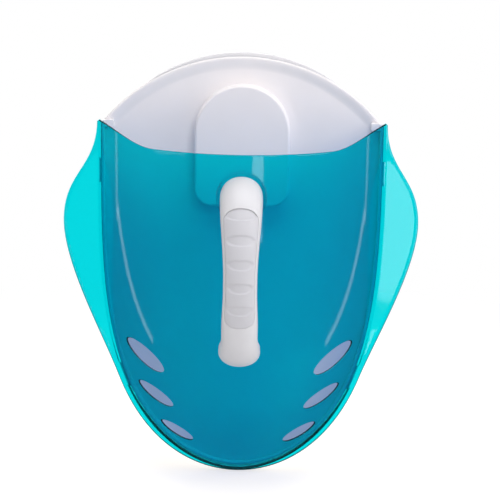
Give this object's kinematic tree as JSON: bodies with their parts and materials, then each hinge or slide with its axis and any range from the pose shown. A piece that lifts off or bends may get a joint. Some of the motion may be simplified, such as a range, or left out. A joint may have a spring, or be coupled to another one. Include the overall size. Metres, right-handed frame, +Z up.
{
  "type": "bath toy organizer",
  "caption": "Wall-hung bath toy scoop: translucent teal pod with side wings and drain holes, white arched back panel, bow handle and a stick-on hook bracket it lifts off.",
  "frame": {"origin": "centre of the upper adhesive strip's face on the wall", "axes": "+Y into the wall, +Z up, +X to the right seen from the front; the scoop faces -Y"},
  "size_m": [0.305, 0.1809, 0.3661],
  "materials": {
    "teal_plastic": "translucent polished",
    "white_plastic": "satin",
    "handle_white": "satin",
    "soft_grip": "matt",
    "foam_tape": "matt foam",
    "screw_steel": "zinc plated"
  },
  "bodies": {
    "bracket": {"wall_bracket": "white_plastic", "adhesive_strip_upper": "foam_tape", "adhesive_strip_lower": "foam_tape"},
    "scoop": {"scoop_shell": "teal_plastic", "back_panel": "white_plastic", "handle_body": "handle_white", "handle_cover": "handle_white", "grip_pad": "soft_grip", "handle_screw_upper": "screw_steel", "handle_screw_lower": "screw_steel"}
  },
  "joints": [
    {"name": "scoop_lift", "type": "slide", "parent": "bracket", "child": "scoop", "axis": [0, 0, 1], "range_m": [0, 0.032]}
  ]
}
